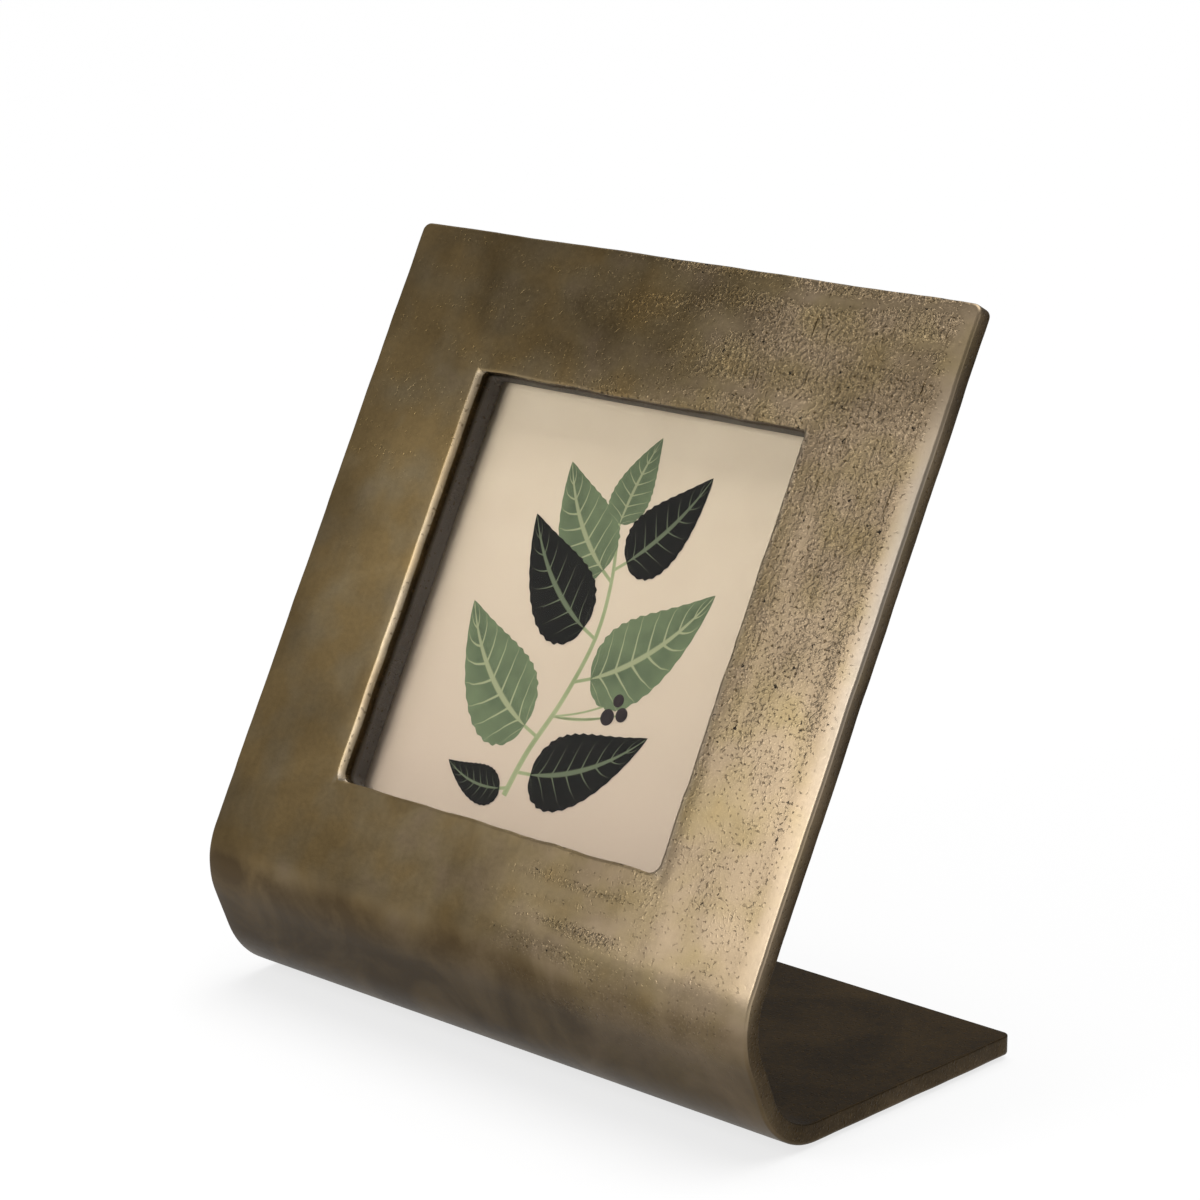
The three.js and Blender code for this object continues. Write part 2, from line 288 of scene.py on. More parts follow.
def sand_skin(across, along):
    """How much of the sandy cast skin the rubbing left, from 0 to 1. It stands in level streaks
    near the top and in faint upright ones beside the window, thins to the left and lower down, and
    ends at the smooth strip inside the right edge and on the bends."""
    up = along - FACE_START
    rightness = ramp(across, -45 * MM, 62 * MM)
    beside = ramp(across, 44 * MM, 60 * MM) * ramp(WINDOW_HIGH - up, -8 * MM, 10 * MM)
    upright = 0.4 * hills(across / (2.6 * MM), along / (30 * MM), 1.7)
    upright *= 0.3 + 0.7 * ramp(up, 30 * MM, 110 * MM)
    level = 1.15 * hills(across / (34 * MM), along / (3.6 * MM), 4.2)
    streak = upright * beside + level * (1 - beside)
    patch = hills(across / (13 * MM), along / (13 * MM), 8.8)
    amount = 0.06 + 0.58 * rightness + (0.2 + 0.8 * rightness) * (0.85 * streak + 0.2 * patch)
    amount -= 0.42 * (1 - ramp(up, 20 * MM, 130 * MM))
    smooth_from = 91.5 * MM + 1.5 * MM * hills(0, along / (7 * MM), 6.1)
    strip = 1 - ramp(across, smooth_from, smooth_from + 7 * MM)
    return max(0.0, min(1.0, amount)) * strip * ramp(along, 108 * MM, 146 * MM)


def rubbed_and_lit_tone(across, along, depth):
    """How far the dark patina is rubbed back to brass, from 0 to 1, before its clouds. Its lighter
    right side and its darker top and bends are painted highlight and painted shade laid into it.
    """
    up = along - FACE_START
    # Brighter to the right, dark along the top's left part and below the window's left part: painted
    # highlight where the lamp's reflection falls, and painted shade away from it
    front = 0.49 + 0.23 * ramp(across, -30 * MM, 85 * MM)
    painted_shade_top = ramp(up, 138 * MM, 156 * MM) * (1 - ramp(across, 0, 60 * MM))
    front -= painted_shade_top * (0.1 + 0.13 * ramp(across, -95 * MM, -55 * MM))
    front -= 0.08 * (1 - ramp(up, 12 * MM, 32 * MM)) * (1 - ramp(across, 20 * MM, 75 * MM))
    # A bright patch on the strip left of the window, and a bright right side with a duller top; the
    # bright right side and its duller top are painted highlight and painted shade
    beside = 1 - ramp(abs(across + 72 * MM), 4 * MM, 26 * MM)
    front += 0.31 * beside * ramp(up, 40 * MM, 75 * MM) * (1 - ramp(up, 110 * MM, 145 * MM))
    front += 0.14 * ramp(across, 30 * MM, 75 * MM) * (1 - 0.4 * ramp(up, 60 * MM, 130 * MM))
    front -= 0.22 * ramp(across, 45 * MM, 70 * MM) * ramp(up, 138 * MM, 156 * MM)
    # The rubbing ends, and painted shade for the bend begins, in a wavering line where the face bends
    # away, and the foot stays dark
    bend_shade_line = up + 3 * MM * hills(across / (26 * MM), 0, 3.9)
    bend_shade_line += MM * ramp(across, 60 * MM, 90 * MM)
    left_on_bend = 0.02 + 0.2 * ramp(across, -60 * MM, 90 * MM)
    front *= left_on_bend + (1 - left_on_bend) * ramp(bend_shade_line, -13 * MM, -2 * MM)
    under = ramp(along, FOOT_LENGTH, FOOT_LENGTH + 20 * MM)
    front = 0.1 * (1 - under) + front * under
    behind = ramp(depth, 0.9 * MM, 2 * MM)
    return front * (1 - behind) + (0.05 + 0.2 * ramp(depth, 0.8 * METAL, METAL)) * behind


def is_inside(face, half_width, low, high):
    middle = face.calc_center_median()
    return abs(middle.x) < half_width and low < middle.y - FACE_START < high


def is_near_window(spot):
    return abs(window_gap(spot.x, spot.y - FACE_START)) < NEAR_WINDOW


def is_beside_rim(spot):
    """Whether a place is outside the foot of the pocket's wall, where the back is bare."""
    return abs(spot.x) > RIM_SIDE + MM or not RIM_LOW - MM < spot.y - FACE_START < RIM_HIGH + MM


def is_sharp(edge):
    return len(edge.link_faces) == 2 and edge.calc_face_angle() > SHARP_ANGLE


def spans(edge):
    """How far an edge runs through the sheet's thickness."""
    return abs(edge.verts[0].co.z - edge.verts[1].co.z)


def centre(edge):
    return (edge.verts[0].co + edge.verts[1].co) / 2


def round_edges(shape, edges, offset, segments):
    bmesh.ops.bevel(shape, geom=edges, offset=offset, segments=segments, profile=0.5,
                    affect="EDGES", material=-1, clamp_overlap=True)


def extrude_back(shape, faces, distance, **settings):
    """Extrudes some faces and moves what that made backwards."""
    raised = bmesh.ops.extrude_face_region(shape, geom=faces, **settings)
    verts = [item for item in raised["geom"] if isinstance(item, bmesh.types.BMVert)]
    bmesh.ops.translate(shape, verts=verts, vec=(0, 0, distance))


# The steps in mm between the rows of points, from mark to mark: finest at the window's corners
COLUMN_STEPS = (3, 2, 2, 1.2, 2.4, 0.84, 3, 0.84, 2.4, 1.2, 2, 2, 3)
ROW_STEPS = (3, 4, 1.6, 2, 2, 1.2, 2.4, 0.84, 3, 0.84, 2.4, 1.2, 2, 2, 3)


def blank_marks():
    """The places across the sheet and along it that a row of points has to meet."""
    clear = CORNER_RADIUS + CORNER_MARGIN
    chamfered = CHAMFER_WIDTH + CHAMFER_MARGIN
    corner = max(WINDOW_CORNERS)
    across = (-HALF_WIDTH, clear - HALF_WIDTH, -RIM_SIDE, -POCKET_SIDE, -WINDOW_SIDE - chamfered,
              -WINDOW_SIDE, corner - WINDOW_SIDE, WINDOW_SIDE - corner, WINDOW_SIDE,
              WINDOW_SIDE + chamfered, POCKET_SIDE, RIM_SIDE, HALF_WIDTH - clear, HALF_WIDTH)
    up = (RIM_LOW, POCKET_LOW, WINDOW_LOW - chamfered, WINDOW_LOW, WINDOW_LOW + corner,
          WINDOW_HIGH - corner, WINDOW_HIGH, WINDOW_HIGH + chamfered, POCKET_HIGH, RIM_HIGH,
          FACE_HEIGHT - clear, FACE_HEIGHT)
    return across, (0, clear, FOOT_LENGTH, FACE_START) + tuple(FACE_START + mark for mark in up)


def flat_blank():
    """The sheet at its full thickness with the window cut out, and nothing rounded yet."""
    marks_across, marks_along = blank_marks()
    columns = stations(marks_across, COLUMN_STEPS)
    rows = stations(marks_along, ROW_STEPS)
    sheet = bmesh.new()
    bmesh.ops.create_grid(sheet, x_segments=len(columns) - 1, y_segments=len(rows) - 1, size=0.5)
    for vert in sheet.verts:
        column = round((vert.co.x + 0.5) * (len(columns) - 1))
        row = round((vert.co.y + 0.5) * (len(rows) - 1))
        vert.co = Vector((columns[column], rows[row], 0))
    window = [f for f in sheet.faces if is_inside(f, WINDOW_SIDE, WINDOW_LOW, WINDOW_HIGH)]
    bmesh.ops.delete(sheet, geom=window, context="FACES")
    extrude_back(sheet, sheet.faces[:], METAL, use_keep_orig=True)
    return sheet


def raise_rim(sheet):
    """Raises the lip that the glass rests on, and the wall round the pocket from its outer part."""
    for start, stop, hole in (
        (METAL, LIP_DEPTH, (0, 0, 0)),
        (LIP_DEPTH, RIM_DEPTH, (POCKET_SIDE, POCKET_LOW, POCKET_HIGH)),
    ):
        sheet.normal_update()
        ring = [
            f for f in sheet.faces
            if abs(f.calc_center_median().z - start) < SAME
            and abs(f.normal.z) > 0.9
            and is_inside(f, RIM_SIDE, RIM_LOW, RIM_HIGH)
            and not is_inside(f, *hole)
        ]
        extrude_back(sheet, ring, stop - start)
        bmesh.ops.delete(sheet, geom=[f for f in ring if f.is_valid], context="FACES")
    bmesh.ops.recalc_face_normals(sheet, faces=sheet.faces[:])


def round_outline(sheet):
    """Rounds the plate's corners, then its rear edges, then its front edges."""
    corners = [e for e in sheet.edges if is_sharp(e) and spans(e) > METAL / 2
               and abs(abs(centre(e).x) - HALF_WIDTH) < SAME]
    round_edges(sheet, corners, CORNER_RADIUS, 5)
    behind = [e for e in sheet.edges if is_sharp(e) and spans(e) < SAME
              and METAL / 2 < centre(e).z < METAL + SAME and is_beside_rim(centre(e))]
    round_edges(sheet, behind, REAR_ROUND, 3)
    ahead = [e for e in sheet.edges if is_sharp(e) and centre(e).z < SAME
             and not is_near_window(centre(e))]
    round_edges(sheet, ahead, FRONT_ROUND, 4)


def chamfer_window(sheet):
    """Cuts the window's chamfer, broad on the left and less than half as wide on the other three
    sides, and softens its arrises."""
    window = [e for e in sheet.edges if is_sharp(e) and centre(e).z < SAME]
    round_edges(sheet, window, CHAMFER_WIDTH, 1)
    middle_up = FACE_START + (WINDOW_LOW + WINDOW_HIGH) / 2
    half_height = (WINDOW_HIGH - WINDOW_LOW) / 2
    for vert in sheet.verts:
        aside = abs(vert.co.x) - WINDOW_SIDE
        above = abs(vert.co.y - middle_up) - half_height
        if -SAME < max(aside, above) < CHAMFER_WIDTH + SAME and vert.co.z < CHAMFER_WIDTH + SAME:
            on_left = vert.co.x < SAME - WINDOW_SIDE
            vert.co.z *= CHAMFER_DEPTH / CHAMFER_WIDTH * (1 if on_left else SLIM_CHAMFER)
            vert.co.x -= (1 - SLIM_CHAMFER) * max(0, 0 if on_left else aside)
            vert.co.y -= (1 - SLIM_CHAMFER) * math.copysign(max(0, above), vert.co.y - middle_up)
    sheet.normal_update()
    arrises = [e for e in sheet.edges if is_near_window(centre(e)) and spans(e) < MM
               and centre(e).z < CHAMFER_DEPTH + SAME and e.calc_face_angle(0) > ARRIS_ANGLE]
    round_edges(sheet, arrises, ARRIS_ROUND, 2)


def keep_flats_flat(sheet):
    """Puts a row of points close inside each rounding, so that the flats stay flat up to it."""
    inset = FRONT_ROUND + FLAT_MARGIN
    for spot, normal in (
        ((inset - HALF_WIDTH, 0, 0), (1, 0, 0)),
        ((HALF_WIDTH - inset, 0, 0), (1, 0, 0)),
        ((0, inset, 0), (0, 1, 0)),
        ((0, SHEET_LENGTH - inset, 0), (0, 1, 0)),
        ((0, 0, inset), (0, 0, 1)),
        ((0, 0, METAL - REAR_ROUND - FLAT_MARGIN), (0, 0, 1)),
    ):
        whole = sheet.verts[:] + sheet.edges[:] + sheet.faces[:]
        bmesh.ops.bisect_plane(sheet, geom=whole, dist=SAME, plane_co=spot, plane_no=normal)


def cast_blank():
    """The casting as a flat sheet with its window, lip and pocket wall, and its edges rounded."""
    sheet = flat_blank()
    raise_rim(sheet)
    round_outline(sheet)
    chamfer_window(sheet)
    rear = [e for e in sheet.edges
            if is_sharp(e) and spans(e) < SAME and centre(e).z > METAL - SAME]
    round_edges(sheet, rear, RIM_ROUND, 2)
    keep_flats_flat(sheet)
    return sheet


def round_corners(sheet, side, low, high, radii, start, stop):
    """Draws a rectangle's square corners, and what lies round them, into quarter circles of the
    low and the high radius, for the depths from start to stop."""
    middle = FACE_START + (low + high) / 2
    for vert in sheet.verts:
        if not start < vert.co.z < stop:
            continue
        radius = radii[vert.co.y > middle]
        aside = abs(vert.co.x) - side + radius
        above = abs(vert.co.y - middle) - (high - low) / 2 + radius
        if aside <= 0 or above <= 0:
            continue
        reach = max(aside, above)
        share = 1 - ramp(reach, radius + RIM_ROUND, 2.5 * radius)
        pull = 1 + share * (reach / math.hypot(aside, above) - 1)
        vert.co.x -= math.copysign(aside * (1 - pull), vert.co.x)
        vert.co.y -= math.copysign(above * (1 - pull), vert.co.y - middle)


def carries_skin(face):
    """Whether a face is in the part of the front where the sand skin stands."""
    spot = face.calc_center_median()
    return (
        abs(spot.z) < SAME
        and SKIN_LEFT < spot.x < SKIN_RIGHT
        and SKIN_START < spot.y < SHEET_LENGTH - SKIN_TOP_MARGIN
        and window_gap(spot.x, spot.y - FACE_START) > CHAMFER_WIDTH + FLAT_MARGIN
    )


def refine_skin(sheet):
    """Cuts the front finely where the sand skin stands, so that its lumps are real shapes."""
    sheet.normal_update()
    edges = dict.fromkeys(e for f in sheet.faces if carries_skin(f) for e in f.edges)
    bmesh.ops.subdivide_edges(sheet, edges=list(edges), cuts=SKIN_CUTS, use_grid_fill=True)


# What each point of the plate carries for its brass, from 0 to 1; the rubbing, the edge wear and the
# dark patina also carry painted highlight and painted shade
FINISHES = ("sand_skin", "rubbed", "worn_edge_and_highlight", "shaded_dark_patina")


def finish_at(across, along, depth):
    """A place's sand skin, rubbing, edge wear and patina left dark, in the order of FINISHES, the last
    three with painted highlight and painted shade laid in.
    """
    up = along - FACE_START
    gap = window_gap(across, up)
    from_top = SHEET_LENGTH - along
    on_back = ramp(depth, 0.8 * METAL, METAL)
    if depth < FRONT_ROUND:
        skin = sand_skin(across, along)
    else:
        behind = on_back * ramp(up, -60 * MM, 0)
        skin = 0.3 + behind * (0.15 + 0.5 * hills(across / (24 * MM), along / (24 * MM), 2.9))
    # The plate's right edge is worn bright, most at 60 to 85 mm below the top, and so are the window's
    # upright arrises, the left one more: partly edge wear, partly painted highlight laid where the
    # lamp's reflection falls
    worn = 0.08 + 0.87 * ramp(from_top, 10 * MM, 60 * MM)
    worn -= 0.65 * ramp(from_top, 85 * MM, 150 * MM)
    worn *= 1 - ramp(HALF_WIDTH - across, 0, 7 * MM)
    worn *= 0.15 + 0.85 * ramp(up, -14 * MM, 8 * MM)
    if WINDOW_LOW < up < WINDOW_HIGH:
        window_wear = 0.35 + 0.5 * (across < 0)
        worn = max(worn, window_wear * (1 - ramp(abs(gap), 1.2 * MM, 2.4 * MM)))
    worn *= 1 - ramp(depth, 0.5 * MM, 1.3 * MM)
    inside = (1 - ramp(gap, 0.2 * MM, MM)) * ramp(depth, 0.8 * MM, 1.8 * MM)
    # The bends' front, the sides and the back, most on the foot's top under the leaning face, take the
    # brown: partly patina the rubbing left, partly painted shade
    low = 0.4 * (1 - ramp(up, -26 * MM, -10 * MM))
    side = 0.6 * ramp(depth, 0.5 * MM, 1.2 * MM)
    back = (0.8 - 0.2 * ramp(up, -30 * MM, 10 * MM)) * on_back
    return skin, rubbed_and_lit_tone(across, along, depth), worn, max(inside, low, side, back)


def sunk(across, along, depth, skin):
    """How far a place lies behind the plain sheet's: the front is rubbed down, most at its edges,
    the sheet swells and hollows, and the sand's lumps stand proud."""
    up = along - FACE_START
    gap = window_gap(across, up)
    from_top = SHEET_LENGTH - along
    right_fall = max(0, 1 - (HALF_WIDTH - across) / SIDE_FALL_WIDTH) ** 2
    right_fall *= 1 - 0.6 * ramp(from_top, 50 * MM, 150 * MM)
    left_fall = 0.5 * max(0, 1 - (HALF_WIDTH + across) / (0.6 * SIDE_FALL_WIDTH)) ** 2
    top_fall = 0.4 * max(0, 1 - from_top / TOP_FALL_WIDTH) ** 2
    fall = SIDE_FALL * (right_fall + left_fall + top_fall)
    fall += WINDOW_FALL * min(1, max(0, 1 - (gap - CHAMFER_WIDTH) / WINDOW_FALL_WIDTH)) ** 2
    swell = hills(across / SWELL_SIZE, along / SWELL_SIZE, 0.3)
    swell += 0.4 * hills(across / (12 * MM), along / (20 * MM), 5.1)
    swell = SHEET_SWELL * (0.5 + 0.5 * swell) * (1 - ramp(depth, METAL, LIP_DEPTH))
    lump = hills(across / LUMP_SIZE, along / LUMP_SIZE, 2.4)
    lump += 0.4 * hills(across / (2.6 * LUMP_SIZE), along / (2.6 * LUMP_SIZE), 9.4)
    lump = ramp(lump, 0.5 - 0.45 * skin, 0.85 - 0.35 * skin) * ramp(skin, 0.05, 0.3)
    lump *= 0.15 + 0.85 * ramp(up, 90 * MM, 150 * MM)
    on_front = 1 - ramp(depth, 0, METAL)
    bent_up = ramp(along, FOOT_LENGTH + 4 * MM, FOOT_LENGTH + 24 * MM)
    return bent_up * (on_front * (SKIN_INSET + fall - LUMP_HEIGHT * lump) + swell)


def grind_outline(vert, across, along):
    """Makes the plate's sides and top waver, as a hand at the grinder left them."""
    edge_seed = 3.3 + math.copysign(1, across)
    pull = 0.5 + 0.5 * hills(0, along / (20 * MM), edge_seed)
    pull += 0.25 * hills(0, along / (6 * MM), edge_seed + 4)
    near_side = 1 - ramp(HALF_WIDTH - abs(across), 0, OUTLINE_REACH)
    vert.co.x -= math.copysign(OUTLINE_WOBBLE * max(0, pull), across) * near_side
    dip = 0.5 + 0.5 * hills(across / (26 * MM), 0, 6.6) + 0.2 * hills(across / (7 * MM), 0, 1.6)
    near_top = 1 - ramp(SHEET_LENGTH - along, 0, OUTLINE_REACH)
    vert.co.y -= (TOP_GROUND + OUTLINE_WOBBLE * max(0, dip)) * near_top


def file_window(vert, across, along, depth):
    """Makes the window's four edges waver between its corners."""
    up = along - FACE_START
    near = (1 - ramp(window_gap(across, up), 0, 5 * MM)) * (1 - ramp(depth, 2 * MM, LIP_DEPTH))
    edge_seed = 3.3 + math.copysign(1, across)
    sway = hills(0, up / (11 * MM), 7.7 + edge_seed) + 0.5 * hills(0, up / (2.6 * MM), edge_seed)
    from_corner = min(WINDOW_HIGH - up, up - WINDOW_LOW)
    vert.co.x += WINDOW_WOBBLE * near * sway * ramp(from_corner, 0, 8 * MM)
    sway = hills(across / (11 * MM), 0, 5.5 + round(up / FACE_HEIGHT))
    sway += 0.4 * hills(across / (2.6 * MM), 0, 2.5 + round(up / FACE_HEIGHT))
    vert.co.y += WINDOW_WOBBLE * near * sway * ramp(WINDOW_SIDE - abs(across), 0, 8 * MM)


def work_by_hand(sheet):
    """Gives each place its finish, and moves it as the casting, grinding and rubbing did."""
    layers = [sheet.verts.layers.float.new(name) for name in FINISHES]
    place_layer = sheet.verts.layers.float_vector.new("sheet_place")
    for vert in sheet.verts:
        across, along, depth = vert.co
        finish = finish_at(across, along, depth)
        for layer, value in zip(layers, finish):
            vert[layer] = value
        vert[place_layer] = vert.co.copy()
        vert.co.z += sunk(across, along, depth, finish[0])
        grind_outline(vert, across, along)
        file_window(vert, across, along, depth)


def make_cast_plate():
    """The casting worked by hand while it is flat, then bent. Points that meet become one."""
    sheet = cast_blank()
    round_corners(sheet, RIM_SIDE, RIM_LOW, RIM_HIGH, RIM_CORNERS, METAL - RIM_ROUND, 1)
    round_corners(sheet, WINDOW_SIDE, WINDOW_LOW, WINDOW_HIGH, WINDOW_CORNERS,
                  -1, LIP_DEPTH - RIM_ROUND)
    refine_skin(sheet)
    work_by_hand(sheet)
    for vert in sheet.verts:
        vert.co = bend(vert.co)
    bmesh.ops.remove_doubles(sheet, verts=sheet.verts[:], dist=MERGED)
    bmesh.ops.recalc_face_normals(sheet, faces=sheet.faces[:])
    if sheet.calc_volume(signed=True) < 0:
        bmesh.ops.reverse_faces(sheet, faces=sheet.faces[:])
    return sheet


DARK_PATINA = "#48371A"


def read_plate(add):
    """What the plate's points carry, and the patterns that more than one of its layers uses."""
    at = SimpleNamespace()
    at.place = add("Attribute", attribute_name="sheet_place").outputs["Vector"]
    at.skin, at.rubbed, at.worn, at.recess = [
        add("Attribute", attribute_name=name).outputs["Fac"] for name in FINISHES
    ]
    at.sandy = add("Math", {0: at.skin, 1: 2.4}, operation="MULTIPLY", use_clamp=True)
    # Clouds of patina about 26 mm wide
    clouds = add("TexNoise", {
        "Vector": at.place, "Scale": 1 / (26 * MM), "Detail": 4.0, "Roughness": 0.55,
        "Distortion": 0.6,
    })
    at.clouds = add("Math", {0: clouds, 1: 0.5}, operation="SUBTRACT")
    # Mottling about 1.5 mm wide, stronger where sand was
    at.mottle = add("TexNoise", {
        "Vector": at.place, "Scale": 1 / (1.5 * MM), "Detail": 3.0, "Roughness": 0.65,
    })
    at.uneven = add("Math", {0: at.mottle, 1: 0.5}, operation="SUBTRACT")
    at.strength = add("Math", {0: at.sandy, 1: 0.24, 2: 0.08}, operation="MULTIPLY_ADD")
    return at


def patina_and_light_tone(add, at):
    """How light the rubbed front is, from its dark patina at 0 to bare brass at 1, with the painted
    highlight and painted shade that the rubbing and the edge wear carry.
    """
    shade = add("Math", {0: at.clouds, 1: 0.7, 2: at.rubbed}, operation="MULTIPLY_ADD")
    # Soft streaks 5 mm wide and 25 mm long up the face
    drawn_out = add("Mapping", {"Vector": at.place, "Scale": (1, 0.2, 1)})
    streaks = add("TexNoise", {
        "Vector": drawn_out, "Scale": 1 / (5 * MM), "Detail": 3.0, "Roughness": 0.6,
    })
    streaks = add("Math", {0: streaks, 1: 0.5}, operation="SUBTRACT")
    streaks = add("Math", {0: streaks, 1: at.rubbed}, operation="MULTIPLY")
    shade = add("Math", {0: streaks, 1: 0.32, 2: shade}, operation="MULTIPLY_ADD")
    shade = add("Math", {0: at.uneven, 1: at.strength, 2: shade}, operation="MULTIPLY_ADD")
    # Where more skin was left, more patina was left with it
    dull = add("Math", {0: at.skin, 1: -0.1, 2: 0.03}, operation="MULTIPLY_ADD")
    shade = add("Math", {0: shade, 1: dull}, operation="ADD")
    # Bright specks about 0.3 mm wide where the sand's tips are scuffed
    tips = add("TexNoise", {"Vector": at.place, "Scale": 1 / (0.6 * MM), "Detail": 0.0})
    tips = add("MapRange", {0: tips, "From Min": 0.66, "From Max": 0.76, "To Max": 0.35})
    shade = add("Math", {0: tips, 1: at.sandy, 2: shade}, operation="MULTIPLY_ADD")
    # Worn edges lighter still: partly edge wear, partly painted highlight
    return add("Math", {0: at.worn, 1: 0.25, 2: shade}, operation="MULTIPLY_ADD", use_clamp=True)


def rubbed_and_lit_colour(add, at):
    """The front's colour: dark patina to brass by its shade, and greyer metal at worn edges, partly
    edge wear and partly painted highlight.
    """
    # Patches 16 mm wide lean to olive, to tan or to grey, as the patina took unevenly. The shift from
    # golden on the left to greyer on the right is painted highlight, the pale look of the lamp's
    # reflection on the right side
    hue = add("TexNoise", {"Vector": at.place, "Scale": 1 / (16 * MM)})
    across = add("SeparateXYZ", {0: at.place})
    hue = add("Math", {0: across, 1: 2.0, 2: hue}, operation="MULTIPLY_ADD")
    brass_hues = add("ValToRGB", {0: hue})
    stops = brass_hues.color_ramp.elements
    stops[0].position, stops[0].color = 0.26, linear("#B69A68")
    stops[1].position, stops[1].color = 0.72, linear("#BAA486")
    stops.new(0.5).color = linear("#B5A079")
    shade = patina_and_light_tone(add, at)
    colour = add("Mix", {0: shade, 6: linear(DARK_PATINA), 7: brass_hues}, data_type="RGBA")
    polish_and_highlight = add("Math", {0: at.worn, 1: 0.85}, operation="MULTIPLY")
    return add("Mix", {0: polish_and_highlight, 6: colour, 7: linear("#9E958A")}, data_type="RGBA")


def unrubbed_and_shaded_colour(add, at, colour):
    """Takes the front's colour to the brown patina that the sides and back keep, darker and lighter in
    clouds and in mottling, and to the greyer walls of the window. The brown at the bends, the sides
    and the foot's top is also painted shade."""
    tone = add("Math", {0: at.clouds, 1: 2.2, 2: 0.4}, operation="MULTIPLY_ADD")
    tone = add("Math", {0: at.uneven, 1: 1.6, 2: tone}, operation="MULTIPLY_ADD", use_clamp=True)
    brown = add("Mix", {0: tone, 6: linear("#231B10"), 7: linear("#40321D")}, data_type="RGBA")
    brown_and_shade_share = add("MapRange", {0: at.recess, "From Max": 0.75})
    colour = add("Mix", {0: brown_and_shade_share, 6: colour, 7: brown}, data_type="RGBA")
    walls = add("MapRange", {0: at.recess, "From Min": 0.8})
    return add("Mix", {0: walls, 6: colour, 7: linear("#615B54")}, data_type="RGBA")


def sand_grain(add, at):
    """The height of the sand's print in the metal: lumps about 1 mm wide and up to 0.3 mm proud,
    with finer grit between them. The more skin is left, the more of the ground they cover."""
    sand = add("TexNoise", {"Vector": at.place, "Scale": 1 / (1.3 * MM)})
    lumps = add("Math", {0: at.skin, 1: 0.36, 2: sand}, operation="MULTIPLY_ADD")
    lumps = add("MapRange", {0: lumps, "From Min": 0.67, "From Max": 0.9},
                interpolation_type="SMOOTHSTEP")
    grit = add("TexNoise", {"Vector": at.place, "Scale": 1 / (0.75 * MM), "Detail": 1.0})
    grit = add("MapRange", {
        0: grit, "From Min": 0.55, "From Max": 0.75, "To Max": 0.5,
    }, interpolation_type="SMOOTHSTEP")
    grain = add("Math", {0: grit, 1: at.skin, 2: lumps}, operation="MULTIPLY_ADD")
    grain = add("Math", {0: grain, 1: at.sandy}, operation="MULTIPLY")
    relief = add("Math", {0: at.skin, 1: 0.7, 2: 0.3}, operation="MULTIPLY_ADD")
    return add("Math", {0: grain, 1: relief}, operation="MULTIPLY")


def sand_dips(add, at):
    """Round dips about 0.4 mm wide between the sand's lumps."""
    dips = add("TexNoise", {"Vector": at.place, "Scale": 1 / (1.1 * MM), "Detail": 0.0})
    dips = add("MapRange", {0: dips, "From Min": 0.31, "From Max": 0.24, "To Max": 0.8})
    return add("Math", {0: dips, 1: at.sandy}, operation="MULTIPLY")


def left_grime(add, at, grain, dips):
    """Where dark patina is left: low between the lumps, in the dips and in hairlines up the face."""
    hollow = add("MapRange", {0: grain, "From Min": 0.25, "To Min": 0.3, "To Max": 0.0})
    hollow = add("Math", {0: hollow, 1: at.skin}, operation="MULTIPLY")
    fibrous = add("Mapping", {"Vector": at.place, "Scale": (1, 0.05, 1)})
    hairline = add("TexNoise", {"Vector": fibrous, "Scale": 1 / (0.7 * MM), "Detail": 0.0})
    hairline = add("MapRange", {0: hairline, "From Min": 0.72, "From Max": 0.8})
    hairline = add("Math", {0: hairline, 1: at.skin}, operation="MULTIPLY")
    grime = add("Math", {0: hollow, 1: hairline}, operation="MAXIMUM")
    return add("Math", {0: grime, 1: dips}, operation="MAXIMUM")


def gas_pits(add, at):
    """Ragged gas pits 0.3 to 1.1 mm wide, in three cells of ten, each 4 mm, where the front is
    sandy."""
    push = add("TexNoise", {"Vector": at.place, "Scale": 1 / (0.9 * MM)})
    push = add("VectorMath", {0: push.outputs["Color"], 1: (0.5, 0.5, 0.5)}, operation="SUBTRACT")
    push = add("VectorMath", {0: push, 1: (2 * MM, 2 * MM, 0), 2: at.place},
               operation="MULTIPLY_ADD")
    cells = add("TexVoronoi", {"Vector": push, "Scale": 1 / (4 * MM)}, voronoi_dimensions="2D")
    draw = add("SeparateColor", {0: cells.outputs["Color"]})
    draw = add("Math", {0: draw, 1: at.recess}, operation="SUBTRACT")
    radius = add("Math", {0: draw, 1: 0.7}, operation="SUBTRACT", use_clamp=True)
    radius = add("Math", {0: radius, 1: at.sandy}, operation="MULTIPLY")
    radius = add("Math", {0: radius, 1: 0.45, 2: -0.01}, operation="MULTIPLY_ADD")
    inward = add("Math", {0: radius, 1: cells}, operation="SUBTRACT")
    return add("MapRange", {0: inward, "From Min": -0.01, "From Max": 0.03})


